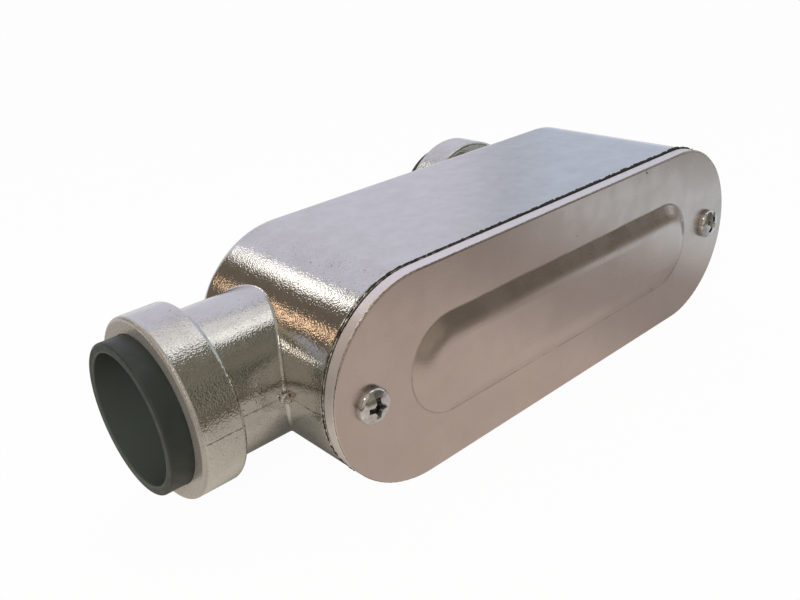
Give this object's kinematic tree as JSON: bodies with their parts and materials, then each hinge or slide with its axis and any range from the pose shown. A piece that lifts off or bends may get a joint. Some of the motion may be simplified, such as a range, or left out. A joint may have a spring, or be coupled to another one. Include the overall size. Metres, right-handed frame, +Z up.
{
  "type": "conduit body",
  "caption": "Oblong cast conduit body with a hub on one end and one on the back, each with a black bush, closed by a screwed cover with a raised panel.",
  "frame": {"origin": "centre of the flat side that the body lies on", "axes": "+X along the body, away from the run hub; +Y out of the back hub, away from the cover; +Z up"},
  "size_m": [0.1777, 0.0855, 0.05],
  "materials": {
    "cast_body": "bright plated, fine cast grain",
    "cover_plate": "satin plated",
    "gasket": "matt",
    "cover_screws": "bright plated",
    "bushes": "smooth matt black"
  },
  "bodies": {
    "root": {"body_casting": "cast_body", "cover": "cover_plate", "cover_gasket": "gasket", "cover_screw_left": "cover_screws", "cover_screw_right": "cover_screws", "run_hub_bush": "bushes", "back_hub_bush": "bushes"}
  },
  "joints": []
}
